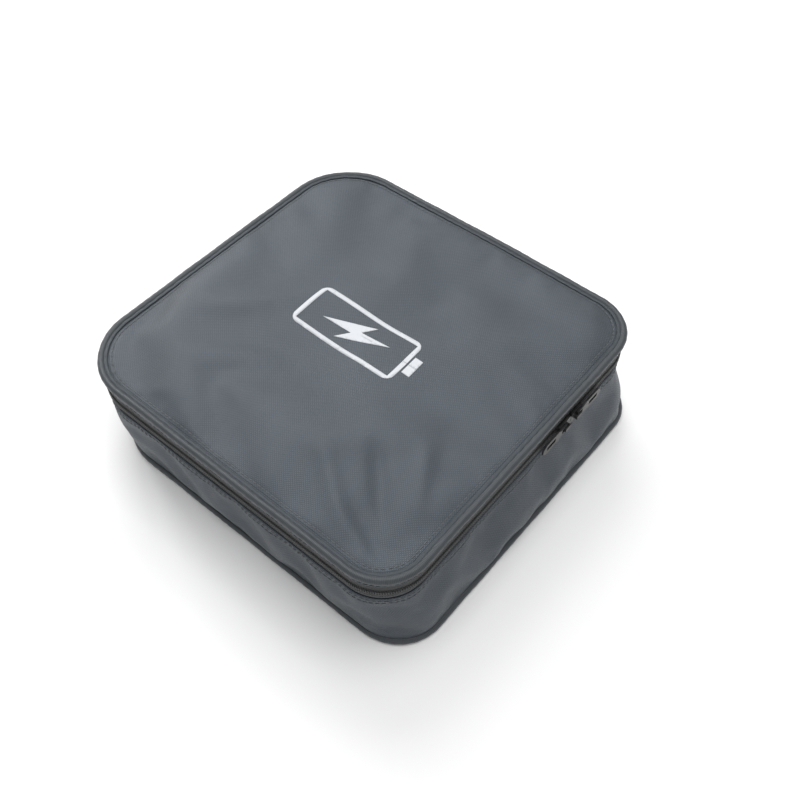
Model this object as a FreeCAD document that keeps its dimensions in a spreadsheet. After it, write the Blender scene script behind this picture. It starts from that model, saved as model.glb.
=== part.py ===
import FreeCAD, Part
import os
from math import pi
import Sketcher
from FreeCAD import Rotation, Vector

# A square soft case for storing batteries, in millimetres.
# X runs along the front wall, +Y points to the back wall where the lid is hinged, +Z is up.
# The origin lies on the floor, in the middle of the case's outline.
# Walls are built outside in: shell fabric, foam, lining.  "inset" means how far a layer lies
# inside the shell's outer face, and a negative inset stands proud of it.

SIZES = {
    # outline of the shell's outer face, seen from above
    "bag_width": 256.0,
    "bag_depth": 251.0,
    "corner_radius": 45.0,
    # wall layers, as insets from the shell's outer face
    "shell_face": 0.0,
    "shell_inside": 0.8,
    "foam_relief": 2.6,
    "foam_inside": 4.4,
    "lining_inside": 5.0,
    "panel_edge": 2.6,
    # corded piping round the top and the bottom edge
    "piping_radius": 2.4,
    "bottom_piping_level": 2.6,
    "top_piping_level": 77.6,
    # levels of the base, from the floor up
    "floor_level": 0.0,
    "board_bottom": 0.8,
    "board_top": 1.8,
    "floor_foam_top": 4.4,
    "floor_lining_top": 5.0,
    "base_hem": 54.5,
    "base_relief": 54.0,
    "base_foam_top": 60.8,
    # levels of the zip: one tape and one row of coil on each side of a thin gap
    "zip_level": 62.0,
    "lower_tape_top": 61.4,
    "lower_coil_bottom": 59.2,
    "upper_tape_bottom": 62.6,
    "upper_coil_top": 64.8,
    "tape_face": 0.1,
    "tape_inside": 0.7,
    "coil_face": -1.2,
    "tape_end": 66.0,
    "coil_end": 73.5,
    # levels of the lid
    "lid_foam_bottom": 63.2,
    "lid_relief": 70.0,
    "lid_hem": 69.5,
    "lid_shell_top": 75.2,
    "lid_lining_bottom": 74.6,
    "lid_foam_top": 75.2,
    "blank_top": 90.0,
    # the crowned top: a dome of large radius
    "crown_radius": 3200.0,
    "crown_top": 82.5,
    "panel_thickness": 0.8,
    "border_edge": 3.0,
    "border_inside": 8.0,
    "border_thickness": 0.5,
    "print_thickness": 0.12,
    # printed emblem: a battery with a terminal at its right end and a bolt inside
    "emblem_shift": -4.5,
    "emblem_length": 82.0,
    "emblem_width": 36.0,
    "emblem_radius": 6.0,
    "emblem_line": 3.2,
    "terminal_length": 6.0,
    "terminal_width": 14.0,
    "terminal_gap": 1.4,
    "bolt_length": 50.0,
    "bolt_width": 22.0,
    # hinge strip on the back wall, and its lining
    "spine_length": 144.0,
    "spine_bottom": 48.5,
    "spine_top": 75.0,
    "spine_thickness": 0.9,
    "spine_clearance": 0.05,
    "spine_lining_length": 130.0,
    "spine_lining_bottom": 54.7,
    "spine_lining_top": 69.3,
    # carry handle of webbing on the back wall
    "handle_length": 136.0,
    "handle_loop": 92.0,
    "handle_rise": 13.0,
    "handle_bottom": 15.0,
    "handle_width": 22.0,
    "webbing_thickness": 1.6,
    # zip sliders, which meet nose to nose on the right wall
    "slider_meeting": 43.0,
    "slider_length": 12.0,
    "slider_gap": 0.4,
    "slider_nose_width": 9.6,
    "slider_tail_width": 7.2,
    "outer_plate_face": 2.9,
    "outer_plate_back": 1.5,
    "inner_plate_face": -1.0,
    "inner_plate_back": -2.0,
    "web_thickness": 0.6,
    "web_length": 3.6,
    "lip_bottom": -4.2,
    "lip_top": -3.1,
    "lip_back": 0.3,
    "bridge_width": 3.0,
    "bridge_length": 5.2,
    "bridge_wall": 0.9,
    "bridge_opening": 1.7,
    # pull tab, hinged on the slider's bridge
    "pin_radius": 0.6,
    "pin_standoff": 3.75,
    "pull_neck_width": 6.0,
    "pull_neck_length": 6.0,
    "pull_window_width": 3.9,
    "pull_window_length": 4.4,
    "pull_width": 9.0,
    "pull_length": 25.0,
    "pull_slot_width": 3.4,
    "pull_slot_length": 9.0,
    "pull_slot_margin": 4.0,
    "pull_corner": 3.0,
    "pull_tip_width": 3.6,
}

# The bolt's outline, as shares of its half length and half width.
BOLT_STEP = 0.36
BOLT_SLANT = 0.3
BOLT_WAIST = 0.2

# A slider's outline, as shares of its half length and of its nose's half width.
NOSE_START = 0.55
NOSE_END = 0.86
NOSE_FLAT = 0.6
TAIL_TAPER = 0.1

# Where a slider's web and lip begin and end, as shares of its length or half length.
WEB_START = 0.1
LIP_REACH = (0.9, 0.8)

EXACT = 1e-3

doc = FreeCAD.newDocument("storage_case")
sheet = doc.addObject("Spreadsheet::Sheet", "Sizes")
for row, (alias, value) in enumerate(SIZES.items(), start=1):
    sheet.set("A%d" % row, alias)
    sheet.set("B%d" % row, str(value))
    sheet.setAlias("B%d" % row, alias)
doc.recompute()

sub_parts = []


def size(alias):
    """The number in the sheet's cell of that name."""
    return float(sheet.get(alias))


def keep(part, label):
    """Labels an object as a finished sub-part."""
    part.Label = label
    sub_parts.append(part)
    return part


def new_body(name):
    """An empty PartDesign body."""
    return doc.addObject("PartDesign::Body", name)


def plane_sketch(body, role, name, level=None):
    """A sketch on one of the body's origin planes, moved along the plane's normal."""
    plane = [f for f in body.Origin.OriginFeatures if f.Role == role][0]
    sketch = body.newObject("Sketcher::SketchObject", name)
    sketch.AttachmentSupport = (plane, [""])
    sketch.MapMode = "FlatFace"
    if level:
        sketch.setExpression("AttachmentOffset.Base.z", level)
    return sketch


def named(sketch, index, name, expression):
    """Names a driving constraint and binds it to the sheet."""
    sketch.renameConstraint(index, name)
    sketch.setExpression("Constraints." + name, expression)


def rounded_outline(sketch, tag, inset):
    """A rounded rectangle round the origin that follows the shell's outline at an inset."""
    half_x = size("bag_width") / 2 - size(inset)
    half_y = size("bag_depth") / 2 - size(inset)
    radius = size("corner_radius") - size(inset)
    centre_x = half_x - radius
    centre_y = half_y - radius
    corners = [(1, 1), (-1, 1), (-1, -1), (1, -1)]
    first = sketch.GeometryCount
    for turn, (sx, sy) in enumerate(corners):
        start = turn * pi / 2
        circle = Part.Circle(Vector(sx * centre_x, sy * centre_y, 0), Vector(0, 0, 1), radius)
        sketch.addGeometry(Part.ArcOfCircle(circle, start, start + pi / 2))
    sides = [
        ((centre_x, half_y), (-centre_x, half_y)),
        ((-half_x, centre_y), (-half_x, -centre_y)),
        ((-centre_x, -half_y), (centre_x, -half_y)),
        ((half_x, -centre_y), (half_x, centre_y)),
    ]
    for start, end in sides:
        sketch.addGeometry(Part.LineSegment(Vector(*start, 0), Vector(*end, 0)))
    for turn in range(4):
        arc = first + turn
        line = first + 4 + turn
        following = first + (turn + 1) % 4
        sketch.addConstraint(Sketcher.Constraint("Tangent", arc, 2, line, 1))
        sketch.addConstraint(Sketcher.Constraint("Tangent", line, 2, following, 1))
    for other in (first + 1, first + 2, first + 3):
        sketch.addConstraint(Sketcher.Constraint("Equal", first, other))
    sketch.addConstraint(Sketcher.Constraint("Horizontal", first + 4))
    sketch.addConstraint(Sketcher.Constraint("Vertical", first + 5))
    sketch.addConstraint(Sketcher.Constraint("Symmetric", first + 4, 1, first + 6, 1, -1, 1))
    depth = sketch.addConstraint(
        Sketcher.Constraint("DistanceY", first + 6, 1, first + 4, 2, 2 * half_y))
    named(sketch, depth, tag + "_depth", "Sizes.bag_depth - 2 * Sizes." + inset)
    width = sketch.addConstraint(
        Sketcher.Constraint("DistanceX", first + 5, 1, first + 7, 2, 2 * half_x))
    named(sketch, width, tag + "_width", "Sizes.bag_width - 2 * Sizes." + inset)
    bend = sketch.addConstraint(Sketcher.Constraint("Radius", first, radius))
    named(sketch, bend, tag + "_radius", "Sizes.corner_radius - Sizes." + inset)


def rectangle(sketch, tag, low, high, low_names, high_names):
    """A rectangle between two corners; each corner coordinate is bound to an expression."""
    first = sketch.GeometryCount
    points = [(low[0], low[1]), (high[0], low[1]), (high[0], high[1]), (low[0], high[1])]
    for start, end in zip(points, points[1:] + points[:1]):
        sketch.addGeometry(Part.LineSegment(Vector(*start, 0), Vector(*end, 0)))
    for side in range(4):
        sketch.addConstraint(
            Sketcher.Constraint("Coincident", first + side, 2, first + (side + 1) % 4, 1))
    for side, way in enumerate(("Horizontal", "Vertical", "Horizontal", "Vertical")):
        sketch.addConstraint(Sketcher.Constraint(way, first + side))
    for corner, values, names, end in (("low", low, low_names, 0), ("high", high, high_names, 2)):
        for way, value, expression in zip(("DistanceX", "DistanceY"), values, names):
            index = sketch.addConstraint(
                Sketcher.Constraint(way, -1, 1, first + end, 1, value))
            named(sketch, index, "%s_%s_%s" % (tag, corner, way[-1].lower()), expression)


def pad(body, sketch, name, length):
    """Pads a sketch along its normal by an expression of the sheet."""
    feature = body.newObject("PartDesign::Pad", name)
    feature.Profile = sketch
    feature.setExpression("Length", length)
    return feature


def pocket(body, sketch, name, length):
    """Cuts a sketch against its normal by an expression of the sheet."""
    doc.recompute()
    before = body.Shape.Volume
    feature = body.newObject("PartDesign::Pocket", name)
    feature.Profile = sketch
    feature.setExpression("Length", length)
    doc.recompute()
    if body.Shape.Volume > before - EXACT:
        raise ValueError(name + " cuts nothing")
    return feature


def layer(body, tag, bottom, top, outside, inside=None):
    """Adds one level of a wall (a ring) or a floor (a plate) to a body."""
    sketch = plane_sketch(body, "XY_Plane", tag + "_sketch", "Sizes." + bottom)
    rounded_outline(sketch, "outside", outside)
    if inside:
        rounded_outline(sketch, "inside", inside)
    pad(body, sketch, tag + "_pad", "Sizes.%s - Sizes.%s" % (top, bottom))


def ring(label, bottom, top, outside, inside):
    """A closed wall layer all round the case."""
    body = new_body(label)
    layer(body, label, bottom, top, outside, inside)
    return keep(body, label)


def plate(label, bottom, top, outside):
    """A flat layer that fills the outline."""
    body = new_body(label)
    layer(body, label, bottom, top, outside)
    return keep(body, label)


def open_ring(label, bottom, top, outside, inside, half_gap):
    """A wall layer with a gap in the middle of the back wall, where the hinge strip is."""
    body = ring(label, bottom, top, outside, inside)
    sketch = plane_sketch(body, "XY_Plane", label + "_gap_sketch", "Sizes." + top)
    reach = size("bag_depth")
    rectangle(
        sketch, "gap",
        (-size(half_gap), size("corner_radius")), (size(half_gap), reach),
        ("Sizes.%s * -1" % half_gap, "Sizes.corner_radius"),
        ("Sizes." + half_gap, "Sizes.bag_depth"),
    )
    pocket(body, sketch, label + "_gap", "Sizes.%s - Sizes.%s" % (top, bottom))
    return body


def piping(label, level):
    """A round welt cord sewn along the edge of the shell."""
    body = new_body(label)
    path = plane_sketch(body, "XY_Plane", label + "_path", "Sizes." + level)
    rounded_outline(path, "path", "shell_face")
    section = plane_sketch(body, "XZ_Plane", label + "_section")
    centre = Vector(size("bag_width") / 2, size(level), 0)
    section.addGeometry(Part.Circle(centre, Vector(0, 0, 1), size("piping_radius")))
    across = section.addConstraint(Sketcher.Constraint("DistanceX", -1, 1, 0, 3, centre.x))
    named(section, across, "across", "Sizes.bag_width / 2")
    height = section.addConstraint(Sketcher.Constraint("DistanceY", -1, 1, 0, 3, centre.y))
    named(section, height, "height", "Sizes." + level)
    radius = section.addConstraint(
        Sketcher.Constraint("Radius", 0, size("piping_radius")))
    named(section, radius, "radius", "Sizes.piping_radius")
    pipe = body.newObject("PartDesign::AdditivePipe", label + "_sweep")
    pipe.Profile = section
    pipe.Spine = path
    return keep(body, label)


def foam_wall(label, bottom, step, top, upwards):
    """The foam ring of the base or the lid, thinner beside the zip so that a slider fits."""
    body = new_body(label)
    if upwards:
        layer(body, label + "_full", bottom, step, "shell_inside", "foam_inside")
        layer(body, label + "_thin", step, top, "foam_relief", "foam_inside")
    else:
        layer(body, label + "_thin", bottom, step, "foam_relief", "foam_inside")
        layer(body, label + "_full", step, top, "shell_inside", "foam_inside")
    return keep(body, label)


def dome(name, drop):
    """A ball whose top stands at the crown's height, less the drop."""
    ball = doc.addObject("Part::Sphere", name)
    ball.setExpression("Radius", "Sizes.crown_radius - (%s)" % drop)
    ball.setExpression("Placement.Base.z", "Sizes.crown_top - Sizes.crown_radius")
    return ball


def under_dome(name, blank, drop):
    """What of a blank lies under the dome."""
    common = doc.addObject("Part::Common", name)
    common.Base = blank
    common.Tool = dome(name + "_dome", drop)
    return common


def dome_skin(label, blank, outer_drop, inner_drop):
    """A layer of a blank that follows the dome, between two drops from the crown."""
    skin = doc.addObject("Part::Cut", label + "_skin")
    skin.Base = under_dome(label + "_under", blank, outer_drop)
    skin.Tool = dome(label + "_inner_dome", inner_drop)
    return keep(skin, label)


def lid_blank(name, bottom, outside, inside=None):
    """A tall prism over the lid, to be trimmed by the dome."""
    body = new_body(name)
    layer(body, name, bottom, "blank_top", outside, inside)
    return body


def emblem_blank():
    """Tall prisms with the emblem's outlines: the battery's frame, its terminal and the bolt."""
    body = new_body("emblem_blank")
    frame = plane_sketch(body, "XY_Plane", "battery_sketch", "Sizes.lid_foam_top")
    half_length = size("emblem_length") / 2
    half_width = size("emblem_width") / 2
    line = size("emblem_line")
    rectangle(
        frame, "outside", (-half_length, -half_width), (half_length, half_width),
        ("Sizes.emblem_length / -2", "Sizes.emblem_width / -2"),
        ("Sizes.emblem_length / 2", "Sizes.emblem_width / 2"),
    )
    rectangle(
        frame, "inside",
        (-half_length + line, -half_width + line), (half_length - line, half_width - line),
        ("Sizes.emblem_line - Sizes.emblem_length / 2",
         "Sizes.emblem_line - Sizes.emblem_width / 2"),
        ("Sizes.emblem_length / 2 - Sizes.emblem_line",
         "Sizes.emblem_width / 2 - Sizes.emblem_line"),
    )
    rise = "Sizes.blank_top - Sizes.lid_foam_top"
    block_pad = pad(body, frame, "battery_pad", rise)
    doc.recompute()
    corners = [
        "Edge%d" % (n + 1) for n, edge in enumerate(block_pad.Shape.Edges)
        if edge.BoundBox.ZLength > EXACT
        and abs(abs(edge.CenterOfMass.x) - half_length) < EXACT
    ]
    rounded = body.newObject("PartDesign::Fillet", "battery_corners")
    rounded.Base = (block_pad, corners)
    rounded.setExpression("Radius", "Sizes.emblem_radius")
    doc.recompute()
    return body


def prism_piece(name, points):
    """A tall prism with a straight-sided outline, worked out from the sheet's sizes."""
    wire = Part.makePolygon([Vector(x, y, size("lid_foam_top")) for x, y in points + points[:1]])
    height = size("blank_top") - size("lid_foam_top")
    piece = doc.addObject("Part::Feature", name)
    piece.Shape = Part.Face(wire).extrude(Vector(0, 0, height))
    return piece


def terminal_blank():
    """The battery's terminal, a small block beside the frame."""
    near = size("emblem_length") / 2 + size("terminal_gap")
    far = near + size("terminal_length")
    half = size("terminal_width") / 2
    return prism_piece("terminal_blank", [(near, -half), (far, -half), (far, half), (near, half)])


def bolt_blank():
    """The bolt: two slanted blades that meet in the middle."""
    reach = size("bolt_length") / 2
    half = size("bolt_width") / 2
    waist = half * BOLT_WAIST
    step = reach * BOLT_STEP
    slant = half * BOLT_SLANT
    points = [
        (-reach, -slant), (step, half), (step * BOLT_SLANT, waist),
        (reach, slant), (-step, -half), (-step * BOLT_SLANT, -waist),
    ]
    return prism_piece("bolt_blank", points)


def emblem():
    """The emblem as a thin layer of print on the dome."""
    blank = doc.addObject("Part::Compound", "emblem_outline")
    blank.Links = [emblem_blank(), terminal_blank(), bolt_blank()]
    blank.setExpression("Placement.Base.x", "Sizes.emblem_shift")
    return dome_skin("emblem_print", blank, "-Sizes.print_thickness", "0")


def wall_strip(label, length, bottom, top, near, far):
    """A flat strip on the middle of the back wall, between two distances from the shell."""
    strip = doc.addObject("Part::Box", label + "_box")
    strip.setExpression("Length", "Sizes." + length)
    strip.setExpression("Width", "(%s) - (%s)" % (far, near))
    strip.setExpression("Height", "Sizes.%s - Sizes.%s" % (top, bottom))
    strip.setExpression("Placement.Base.x", "Sizes.%s / -2" % length)
    strip.setExpression("Placement.Base.y", "Sizes.bag_depth / 2 + (%s)" % near)
    strip.setExpression("Placement.Base.z", "Sizes." + bottom)
    return keep(strip, label)


def handle():
    """A strap sewn flat to the back wall at both ends and bowed out between them."""
    wall = size("bag_depth") / 2 + size("spine_clearance")
    thick = size("webbing_thickness")
    end = size("handle_length") / 2
    foot = size("handle_loop") / 2
    rise = size("handle_rise")
    inner = Part.Arc(Vector(foot, wall, 0), Vector(0, wall + rise, 0), Vector(-foot, wall, 0))
    outer = Part.Arc(
        Vector(-foot, wall + thick, 0), Vector(0, wall + rise + thick, 0),
        Vector(foot, wall + thick, 0))
    edges = [
        Part.LineSegment(Vector(end, wall, 0), Vector(foot, wall, 0)).toShape(),
        inner.toShape(),
        Part.LineSegment(Vector(-foot, wall, 0), Vector(-end, wall, 0)).toShape(),
        Part.LineSegment(Vector(-end, wall, 0), Vector(-end, wall + thick, 0)).toShape(),
        Part.LineSegment(Vector(-end, wall + thick, 0), Vector(-foot, wall + thick, 0)).toShape(),
        outer.toShape(),
        Part.LineSegment(Vector(foot, wall + thick, 0), Vector(end, wall + thick, 0)).toShape(),
        Part.LineSegment(Vector(end, wall + thick, 0), Vector(end, wall, 0)).toShape(),
    ]
    strap = doc.addObject("Part::Feature", "handle_strap")
    strap.Shape = Part.Face(Part.Wire(edges)).extrude(Vector(0, 0, size("handle_width")))
    strap.Placement = FreeCAD.Placement(Vector(0, 0, size("handle_bottom")), Rotation())
    return keep(strap, "handle_webbing")


def polygon_sketch(body, name, points, level):
    """A sketch of straight sides on the body's YZ plane, at an X given by an expression."""
    sketch = plane_sketch(body, "YZ_Plane", name, level)
    for start, end in zip(points, points[1:] + points[:1]):
        sketch.addGeometry(Part.LineSegment(Vector(*start, 0), Vector(*end, 0)))
    for side in range(len(points)):
        sketch.addConstraint(
            Sketcher.Constraint("Coincident", side, 2, (side + 1) % len(points), 1))
        sketch.addConstraint(Sketcher.Constraint("Block", side))
    return sketch


def slider(label, centre, nose):
    """A slider on the right wall.  Its own X points out of the wall and nose is +1 or -1 along Y.

    The two plates hold the lower coil between them.  They are joined by a thin web in the gap
    between the coils, so the lid's coil lifts straight out of the slider.
    """
    body = new_body(label)
    half = size("slider_length") / 2
    nose_half = size("slider_nose_width") / 2
    tail_half = size("slider_tail_width") / 2
    taper = -nose * half * TAIL_TAPER
    start = nose * half * NOSE_START
    end = nose * half * NOSE_END
    tip = nose_half * NOSE_FLAT
    outline = [
        (-nose * half, -tail_half), (taper, -tail_half), (start, -nose_half), (end, -nose_half),
        (nose * half, -tip), (nose * half, tip), (end, nose_half), (start, nose_half),
        (taper, tail_half), (-nose * half, tail_half),
    ]
    for plate_name, back, face in (("outer_plate", "outer_plate_back", "outer_plate_face"),
                                   ("inner_plate", "inner_plate_back", "inner_plate_face")):
        sketch = polygon_sketch(body, plate_name + "_sketch", outline, "Sizes." + back)
        pad(body, sketch, plate_name, "Sizes.%s - Sizes.%s" % (face, back))
        if plate_name == "outer_plate":
            add_web(body, nose)
    add_lip(body, half)
    add_bridge(body)
    body.Placement = FreeCAD.Placement(
        Vector(size("bag_width") / 2, centre, size("zip_level")), Rotation())
    return keep(body, label)


def block(body, name, low, high, level, length):
    """Adds a block with straight sides in Y and Z to a slider."""
    points = [(low[0], low[1]), (high[0], low[1]), (high[0], high[1]), (low[0], high[1])]
    sketch = polygon_sketch(body, name + "_sketch", points, level)
    return pad(body, sketch, name, length)


def add_web(body, nose):
    """The thin web between the plates, near the nose."""
    half = size("web_thickness") / 2
    first = size("slider_length") * WEB_START
    near, far = sorted((nose * first, nose * (first + size("web_length"))))
    block(body, "web", (near, -half), (far, half), "Sizes.inner_plate_back",
          "Sizes.outer_plate_back - Sizes.inner_plate_back")


def add_lip(body, half):
    """The lip along the outer plate's lower edge, which hooks round the coil."""
    front, back = LIP_REACH
    block(body, "lip", (-half * front, size("lip_bottom")), (half * back, size("lip_top")),
          "Sizes.lip_back", "Sizes.outer_plate_back - Sizes.lip_back")


def add_bridge(body):
    """The bridge that holds the pull's pin, with its opening cut through along Z."""
    reach = size("bridge_length") / 2
    half = size("bridge_width") / 2
    height = "Sizes.bridge_opening + Sizes.bridge_wall"
    block(body, "bridge", (-reach, -half), (reach, half), "Sizes.outer_plate_face", height)
    sketch = plane_sketch(body, "XY_Plane", "bridge_opening_sketch", "Sizes.bridge_width / 2")
    face = size("outer_plate_face")
    rectangle(
        sketch, "opening",
        (face, -reach + size("bridge_wall")),
        (face + size("bridge_opening"), reach - size("bridge_wall")),
        ("Sizes.outer_plate_face", "Sizes.bridge_wall - Sizes.bridge_length / 2"),
        ("Sizes.outer_plate_face + Sizes.bridge_opening",
         "Sizes.bridge_length / 2 - Sizes.bridge_wall"),
    )
    pocket(body, sketch, "bridge_opening", "Sizes.bridge_width")


def pull(label, centre, way):
    """A pull tab hinged on a slider's bridge.  It lies along Y, and way is +1 or -1."""
    body = new_body(label)
    neck = size("pull_neck_width") / 2
    neck_end = size("pull_neck_length")
    wide = size("pull_width") / 2
    length = size("pull_length")
    corner = size("pull_corner")
    tip = size("pull_tip_width") / 2
    outline = [
        (0, -neck), (way * neck_end, -neck), (way * (neck_end + corner), -wide),
        (way * (length - corner), -wide), (way * length, -tip), (way * length, tip),
        (way * (length - corner), wide), (way * (neck_end + corner), wide),
        (way * neck_end, neck), (0, neck),
    ]
    window_half = size("pull_window_width") / 2
    window_start = size("pin_radius")
    window_end = window_start + size("pull_window_length")
    slot_half = size("pull_slot_width") / 2
    slot_end = length - size("pull_slot_margin")
    slot_start = slot_end - size("pull_slot_length")
    back = "Sizes.pin_standoff - Sizes.pin_radius"
    thickness = "2 * Sizes.pin_radius"
    tab = polygon_sketch(body, "tab_sketch", outline, back)
    pad(body, tab, "tab", thickness)
    pin = plane_sketch(body, "XY_Plane", "pin_sketch", "Sizes.pull_neck_width / -2")
    pin.addGeometry(
        Part.Circle(Vector(size("pin_standoff"), 0, 0), Vector(0, 0, 1), size("pin_radius")))
    pin.addConstraint(Sketcher.Constraint("PointOnObject", 0, 3, -1))
    standoff = pin.addConstraint(
        Sketcher.Constraint("DistanceX", -1, 1, 0, 3, size("pin_standoff")))
    named(pin, standoff, "standoff", "Sizes.pin_standoff")
    radius = pin.addConstraint(Sketcher.Constraint("Radius", 0, size("pin_radius")))
    named(pin, radius, "radius", "Sizes.pin_radius")
    pad(body, pin, "pin", "Sizes.pull_neck_width")
    for hole, start, end, half in (("window", window_start, window_end, window_half),
                                   ("slot", slot_start, slot_end, slot_half)):
        points = [(way * start, -half), (way * end, -half), (way * end, half), (way * start, half)]
        sketch = polygon_sketch(
            body, hole + "_sketch", points, "Sizes.pin_standoff + Sizes.pin_radius")
        pocket(body, sketch, hole, thickness)
    body.Placement = FreeCAD.Placement(
        Vector(size("bag_width") / 2, centre, size("zip_level")), Rotation())
    return keep(body, label)


def build_base():
    """The base tray: bottom layers, walls, piping, the lower half of the zip and the handle."""
    plate("bottom_panel", "floor_level", "board_bottom", "panel_edge")
    plate("bottom_board", "board_bottom", "board_top", "panel_edge")
    plate("bottom_padding", "board_top", "floor_foam_top", "panel_edge")
    plate("floor_lining", "floor_foam_top", "floor_lining_top", "panel_edge")
    piping("bottom_piping", "bottom_piping_level")
    ring("base_gusset", "floor_lining_top", "base_hem", "shell_face", "shell_inside")
    foam_wall("base_padding", "floor_lining_top", "base_relief", "base_foam_top", True)
    ring("base_wall_lining", "floor_lining_top", "base_foam_top", "foam_inside", "lining_inside")
    open_ring("zipper_tape_lower", "base_hem", "lower_tape_top", "tape_face", "tape_inside",
              "tape_end")
    open_ring("zipper_coil_lower", "lower_coil_bottom", "lower_tape_top", "coil_face",
              "shell_face", "coil_end")
    handle()


def build_hinge():
    """The hinge strip of shell fabric and its lining, which bend as the lid opens."""
    wall_strip("spine_strip", "spine_length", "spine_bottom", "spine_top",
               "Sizes.spine_clearance", "Sizes.spine_clearance + Sizes.spine_thickness")
    wall_strip("spine_lining", "spine_lining_length", "spine_lining_bottom", "spine_lining_top",
               "Sizes.tape_inside * -1", "Sizes.tape_face * -1")


def build_lid():
    """The lid: crowned top, its border, skirt, padding, lining and the upper half of the zip."""
    panel = lid_blank("top_panel_blank", "lid_foam_top", "panel_edge")
    dome_skin("top_panel", panel, "0", "Sizes.panel_thickness")
    border = lid_blank("top_border_blank", "lid_foam_top", "border_edge", "border_inside")
    dome_skin("top_border", border, "-Sizes.border_thickness", "0")
    padding = lid_blank("top_padding_blank", "lid_foam_top", "panel_edge")
    keep(under_dome("top_padding_body", padding, "Sizes.panel_thickness"), "top_padding")
    emblem()
    piping("top_piping", "top_piping_level")
    plate("top_lining", "lid_lining_bottom", "lid_foam_top", "foam_inside")
    ring("lid_gusset", "lid_hem", "lid_shell_top", "shell_face", "shell_inside")
    foam_wall("lid_padding", "lid_foam_bottom", "lid_relief", "lid_foam_top", False)
    ring("lid_wall_lining", "lid_foam_bottom", "lid_lining_bottom", "foam_inside",
         "lining_inside")
    open_ring("zipper_tape_upper", "upper_tape_bottom", "lid_hem", "tape_face", "tape_inside",
              "tape_end")
    open_ring("zipper_coil_upper", "upper_tape_bottom", "upper_coil_top", "coil_face",
              "shell_face", "coil_end")


def build_sliders():
    """Two sliders nose to nose on the right wall, each with a pull that points away."""
    offset = (size("slider_length") + size("slider_gap")) / 2
    for tag, nose in (("front", 1), ("rear", -1)):
        centre = size("slider_meeting") - nose * offset
        slider("zip_slider_" + tag, centre, nose)
        pull("zip_pull_" + tag, centre, -nose)


def check():
    """Stops if any object failed or any sub-part is empty or invalid."""
    doc.recompute()
    for item in doc.Objects:
        if "Invalid" in item.State or "Error" in item.State:
            raise ValueError("%s failed: %s" % (item.Name, item.State))
    for part in sub_parts:
        if part.Shape.isNull() or not part.Shape.isValid() or not part.Shape.Solids:
            raise ValueError(part.Label + " has no valid solid")


def export():
    """Writes each sub-part to its own file."""
    os.makedirs("parts", exist_ok=True)
    for part in sub_parts:
        part.Shape.exportStep("parts/%s.step" % part.Label)
        print("%-20s solids %d  volume %.0f" % (
            part.Label, len(part.Shape.Solids), part.Shape.Volume))


build_base()
build_hinge()
build_lid()
build_sliders()
check()
export()
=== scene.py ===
"""A square soft battery case with a zip: the looks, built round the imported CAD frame.

All lengths are in metres.  "out" is measured outwards from the shell's face, "inset" inwards.
"""

import math

import bmesh
import bpy
import numpy as np
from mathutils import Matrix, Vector


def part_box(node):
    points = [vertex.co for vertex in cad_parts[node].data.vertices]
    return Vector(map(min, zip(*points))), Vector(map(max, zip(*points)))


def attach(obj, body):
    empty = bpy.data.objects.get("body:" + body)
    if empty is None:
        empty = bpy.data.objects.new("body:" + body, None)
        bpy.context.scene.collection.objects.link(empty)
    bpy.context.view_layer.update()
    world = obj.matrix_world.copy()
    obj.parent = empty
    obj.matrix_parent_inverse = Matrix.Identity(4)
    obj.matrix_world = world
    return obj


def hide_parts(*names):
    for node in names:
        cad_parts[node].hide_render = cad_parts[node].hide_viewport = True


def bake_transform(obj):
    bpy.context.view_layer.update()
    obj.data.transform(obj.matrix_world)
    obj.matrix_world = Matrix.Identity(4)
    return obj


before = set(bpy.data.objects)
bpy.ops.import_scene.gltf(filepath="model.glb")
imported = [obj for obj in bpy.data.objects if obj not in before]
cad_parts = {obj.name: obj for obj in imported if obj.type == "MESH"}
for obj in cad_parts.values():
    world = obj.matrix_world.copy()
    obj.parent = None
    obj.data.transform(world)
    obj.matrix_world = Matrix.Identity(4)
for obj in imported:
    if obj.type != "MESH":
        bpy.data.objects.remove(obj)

MM = 0.001
TAU = 2 * math.pi
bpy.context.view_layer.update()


def levels(node):
    """A CAD node's lowest and highest z."""
    return [corner.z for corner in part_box(node)]


# Places and sizes from the frame.
HALF_X, HALF_Y, HEM_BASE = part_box("base_gusset")[1]
HEM_LID, SKIRT_TOP = levels("lid_gusset")
FLOOR_TOP = levels("floor_lining")[1]
FOAM_TOP = levels("base_padding")[1]
LID_FOAM_LOW = levels("lid_padding")[0]
CEILING = levels("top_lining")[0]
ZIP_LEVEL = (levels("zipper_coil_lower")[1] + levels("zipper_coil_upper")[0]) / 2
PIPING_TOP = levels("top_piping")[1]
PIPING_RADIUS = (PIPING_TOP - levels("top_piping")[0]) / 2
FOOT_LEVEL = levels("bottom_piping")[0] + PIPING_RADIUS
SPINE_LOW, SPINE_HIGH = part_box("spine_strip")
SPINE_LINING_LOW, SPINE_LINING_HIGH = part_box("spine_lining")
HANDLE_LOW, HANDLE_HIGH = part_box("handle_webbing")

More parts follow.
